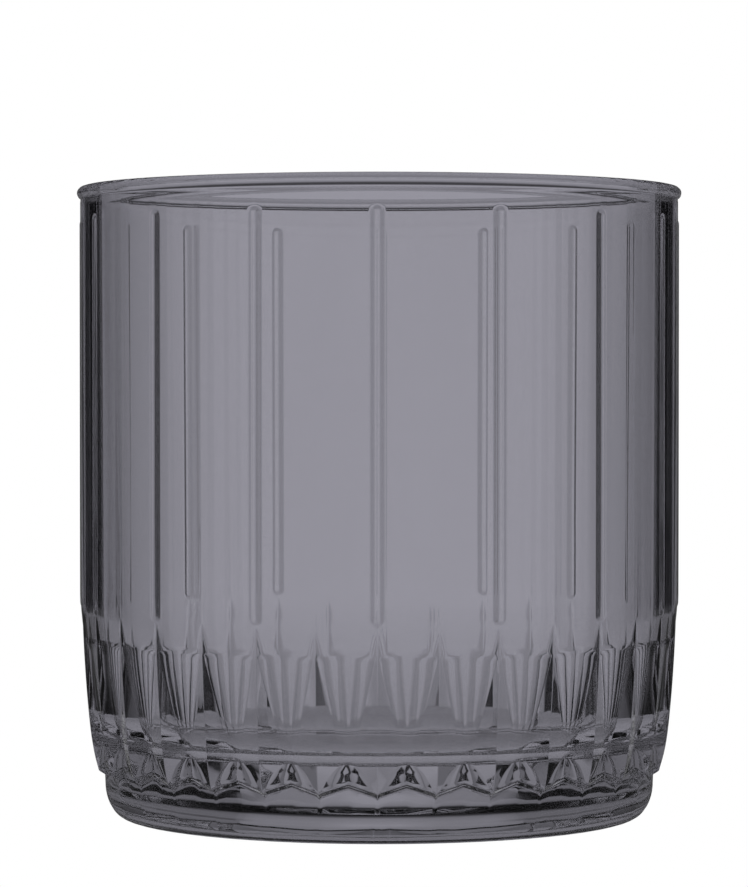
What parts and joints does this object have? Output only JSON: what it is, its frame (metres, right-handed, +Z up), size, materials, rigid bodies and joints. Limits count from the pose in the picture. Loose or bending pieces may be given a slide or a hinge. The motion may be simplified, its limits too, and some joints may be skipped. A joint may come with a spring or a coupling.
{
  "type": "whiskey tumbler",
  "caption": "Straight-sided smoke-tinted glass tumbler with fine vertical ribs, a band of faceted kites above a plain foot, a beaded rim and a thick bottom.",
  "frame": {"origin": "centre of the foot, on the plane that the tumbler stands on", "axes": "+Z up along the tumbler's axis; a rib faces -Y"},
  "size_m": [0.0818, 0.0818, 0.085],
  "materials": {
    "smoke_glass": "fire-polished, smoke grey"
  },
  "bodies": {
    "root": {"tumbler_glass": "smoke_glass"}
  },
  "joints": []
}
